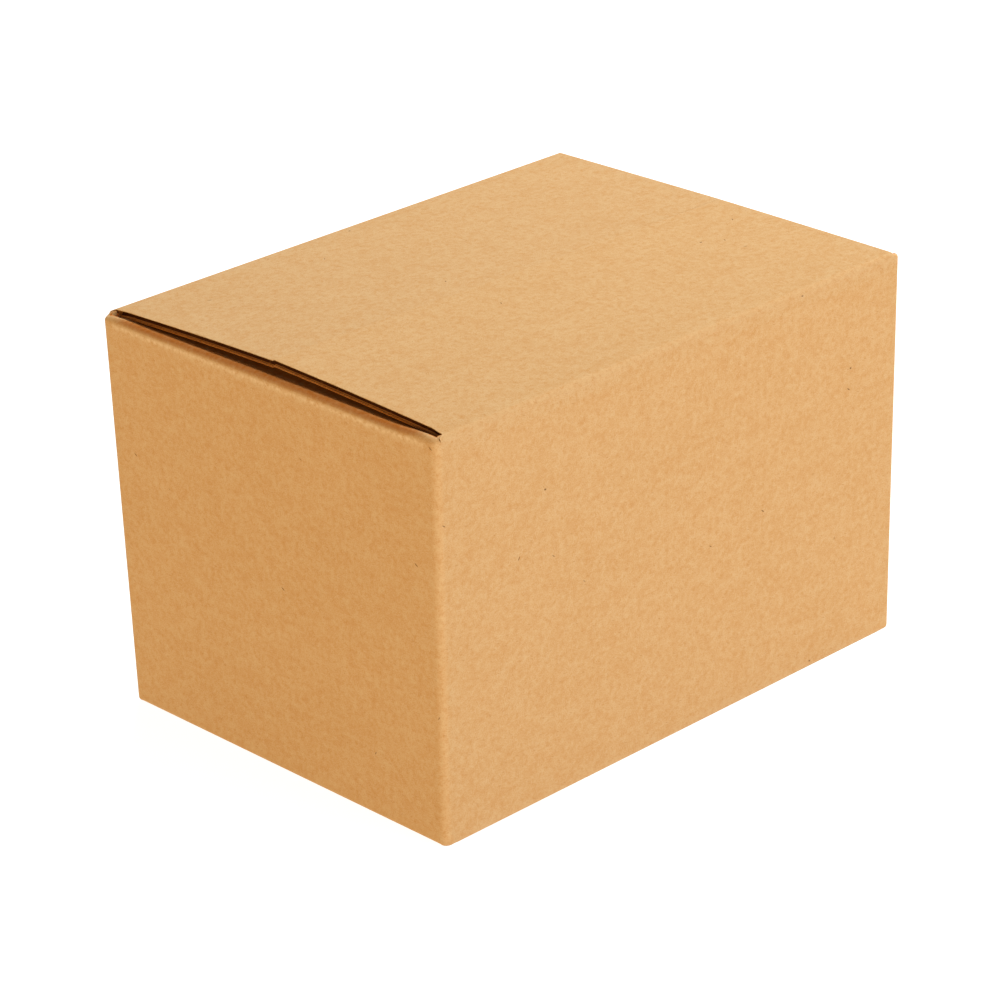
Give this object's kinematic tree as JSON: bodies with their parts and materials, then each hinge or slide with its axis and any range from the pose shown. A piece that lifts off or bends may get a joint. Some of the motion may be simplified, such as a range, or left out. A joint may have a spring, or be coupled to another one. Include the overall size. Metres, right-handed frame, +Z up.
{
  "type": "closed cardboard box",
  "caption": "Rectangular corrugated shipping carton, closed but not taped, with outer top flaps that hinge at their creases.",
  "frame": {"origin": "middle of the footprint, on the surface that the carton stands on", "axes": "+X along the long panels, +Y along the end panels towards the back long panel, +Z up"},
  "size_m": [0.35, 0.2594, 0.2355],
  "materials": {
    "carton_board": "matte",
    "back_flap_board": "matte",
    "front_flap_board": "matte"
  },
  "bodies": {
    "carton": {"carton": "carton_board"},
    "outer_flap_back": {"outer_flap_back": "back_flap_board"},
    "outer_flap_front": {"outer_flap_front": "front_flap_board"}
  },
  "joints": [
    {"name": "back_flap_hinge", "type": "hinge", "parent": "carton", "child": "outer_flap_back", "pos_m": [0, 0.12985, 0.23015], "axis": [-1, 0, 0], "range_deg": [0, 175]},
    {"name": "front_flap_hinge", "type": "hinge", "parent": "carton", "child": "outer_flap_front", "pos_m": [0, -0.12985, 0.23015], "axis": [1, 0, 0], "range_deg": [0, 175]}
  ]
}
